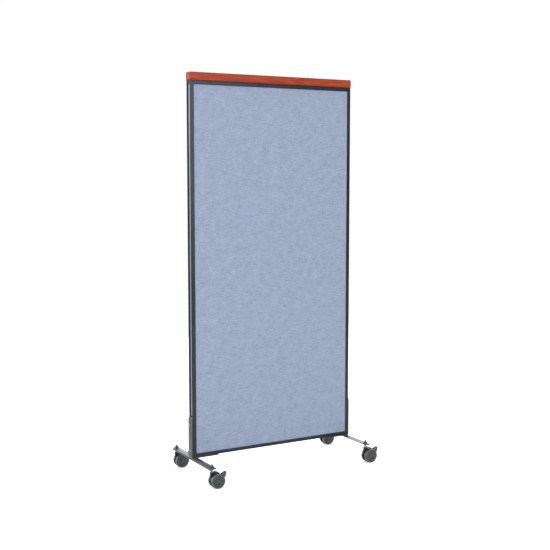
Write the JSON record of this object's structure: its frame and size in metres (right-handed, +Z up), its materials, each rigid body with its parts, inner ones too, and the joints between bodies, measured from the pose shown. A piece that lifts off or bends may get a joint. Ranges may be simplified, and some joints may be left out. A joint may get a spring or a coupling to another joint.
{
  "type": "mobile partition wall",
  "caption": "Free-standing fabric-covered wall panel in a dark extruded frame with a wood cap, on two steel feet with swivelling, braked twin-wheel casters.",
  "frame": {"origin": "on the floor, at the centre of the footprint with every caster trailing towards +X", "axes": "+X along the wall to its right end seen from the front, +Y through the wall to its rear, +Z up"},
  "size_m": [0.9916, 0.454, 1.995],
  "materials": {
    "frame_paint": "satin",
    "foot_paint": "satin",
    "trim": "satin",
    "black_plastic": "matte",
    "fabric": "matte",
    "tackboard": "matte",
    "core": "matte",
    "cherry": "satin",
    "zinc": "satin",
    "caster_plastic": "satin",
    "wheel": "satin",
    "lever_plastic": "satin"
  },
  "bodies": {
    "wall": {"left_post": "frame_paint", "right_post": "frame_paint", "bottom_rail": "frame_paint", "top_rail": "frame_paint", "corner_key_bottom_left": "zinc", "corner_key_top_left": "zinc", "corner_key_bottom_right": "zinc", "corner_key_top_right": "zinc", "left_trim_strip": "trim", "right_trim_strip": "trim", "left_groove_plug": "black_plastic", "right_groove_plug": "black_plastic", "front_fabric": "fabric", "rear_fabric": "fabric", "front_tackboard": "tackboard", "rear_tackboard": "tackboard", "panel_core": "core", "wood_cap": "cherry", "left_cap_clip": "zinc", "right_cap_clip": "zinc", "left_foot_bracket": "foot_paint", "right_foot_bracket": "foot_paint", "left_foot_bar": "foot_paint", "right_foot_bar": "foot_paint", "left_bracket_screw_1": "zinc", "left_bracket_screw_2": "zinc", "right_bracket_screw_1": "zinc", "right_bracket_screw_2": "zinc", "front_left_stem": "zinc", "front_left_nut": "foot_paint", "front_right_stem": "zinc", "front_right_nut": "foot_paint", "rear_left_stem": "zinc", "rear_left_nut": "foot_paint", "rear_right_stem": "zinc", "rear_right_nut": "foot_paint"},
    "front_left_caster": {"front_left_hood": "caster_plastic", "front_left_axle": "zinc", "front_left_brake_pin": "zinc"},
    "front_left_turning_a": {"front_left_wheel_a": "wheel"},
    "front_left_turning_b": {"front_left_wheel_b": "wheel"},
    "front_left_brake": {"front_left_brake_lever": "lever_plastic"},
    "front_right_caster": {"front_right_hood": "caster_plastic", "front_right_axle": "zinc", "front_right_brake_pin": "zinc"},
    "front_right_turning_a": {"front_right_wheel_a": "wheel"},
    "front_right_turning_b": {"front_right_wheel_b": "wheel"},
    "front_right_brake": {"front_right_brake_lever": "lever_plastic"},
    "rear_left_caster": {"rear_left_hood": "caster_plastic", "rear_left_axle": "zinc", "rear_left_brake_pin": "zinc"},
    "rear_left_turning_a": {"rear_left_wheel_a": "wheel"},
    "rear_left_turning_b": {"rear_left_wheel_b": "wheel"},
    "rear_left_brake": {"rear_left_brake_lever": "lever_plastic"},
    "rear_right_caster": {"rear_right_hood": "caster_plastic", "rear_right_axle": "zinc", "rear_right_brake_pin": "zinc"},
    "rear_right_turning_a": {"rear_right_wheel_a": "wheel"},
    "rear_right_turning_b": {"rear_right_wheel_b": "wheel"},
    "rear_right_brake": {"rear_right_brake_lever": "lever_plastic"}
  },
  "joints": [
    {"name": "front_left_swivel", "type": "hinge", "parent": "wall", "child": "front_left_caster", "pos_m": [-0.47373, -0.205, 0.07], "axis": [0, 0, 1], "continuous": true},
    {"name": "front_left_spin_a", "type": "hinge", "parent": "front_left_caster", "child": "front_left_turning_a", "pos_m": [-0.44873, -0.205, 0.0365], "axis": [0, 1, 0], "continuous": true},
    {"name": "front_left_spin_b", "type": "hinge", "parent": "front_left_caster", "child": "front_left_turning_b", "pos_m": [-0.44873, -0.205, 0.0365], "axis": [0, 1, 0], "continuous": true},
    {"name": "front_left_brake_press", "type": "hinge", "parent": "front_left_caster", "child": "front_left_brake", "pos_m": [-0.42017, -0.205, 0.06507], "axis": [0, 1, 0], "range_deg": [0, 12]},
    {"name": "front_right_swivel", "type": "hinge", "parent": "wall", "child": "front_right_caster", "pos_m": [0.42172, -0.205, 0.07], "axis": [0, 0, 1], "continuous": true},
    {"name": "front_right_spin_a", "type": "hinge", "parent": "front_right_caster", "child": "front_right_turning_a", "pos_m": [0.44672, -0.205, 0.0365], "axis": [0, 1, 0], "continuous": true},
    {"name": "front_right_spin_b", "type": "hinge", "parent": "front_right_caster", "child": "front_right_turning_b", "pos_m": [0.44672, -0.205, 0.0365], "axis": [0, 1, 0], "continuous": true},
    {"name": "front_right_brake_press", "type": "hinge", "parent": "front_right_caster", "child": "front_right_brake", "pos_m": [0.47528, -0.205, 0.06507], "axis": [0, 1, 0], "range_deg": [0, 12]},
    {"name": "rear_left_swivel", "type": "hinge", "parent": "wall", "child": "rear_left_caster", "pos_m": [-0.47373, 0.205, 0.07], "axis": [0, 0, 1], "continuous": true},
    {"name": "rear_left_spin_a", "type": "hinge", "parent": "rear_left_caster", "child": "rear_left_turning_a", "pos_m": [-0.44873, 0.205, 0.0365], "axis": [0, 1, 0], "continuous": true},
    {"name": "rear_left_spin_b", "type": "hinge", "parent": "rear_left_caster", "child": "rear_left_turning_b", "pos_m": [-0.44873, 0.205, 0.0365], "axis": [0, 1, 0], "continuous": true},
    {"name": "rear_left_brake_press", "type": "hinge", "parent": "rear_left_caster", "child": "rear_left_brake", "pos_m": [-0.42017, 0.205, 0.06507], "axis": [0, 1, 0], "range_deg": [0, 12]},
    {"name": "rear_right_swivel", "type": "hinge", "parent": "wall", "child": "rear_right_caster", "pos_m": [0.42172, 0.205, 0.07], "axis": [0, 0, 1], "continuous": true},
    {"name": "rear_right_spin_a", "type": "hinge", "parent": "rear_right_caster", "child": "rear_right_turning_a", "pos_m": [0.44672, 0.205, 0.0365], "axis": [0, 1, 0], "continuous": true},
    {"name": "rear_right_spin_b", "type": "hinge", "parent": "rear_right_caster", "child": "rear_right_turning_b", "pos_m": [0.44672, 0.205, 0.0365], "axis": [0, 1, 0], "continuous": true},
    {"name": "rear_right_brake_press", "type": "hinge", "parent": "rear_right_caster", "child": "rear_right_brake", "pos_m": [0.47528, 0.205, 0.06507], "axis": [0, 1, 0], "range_deg": [0, 12]}
  ]
}
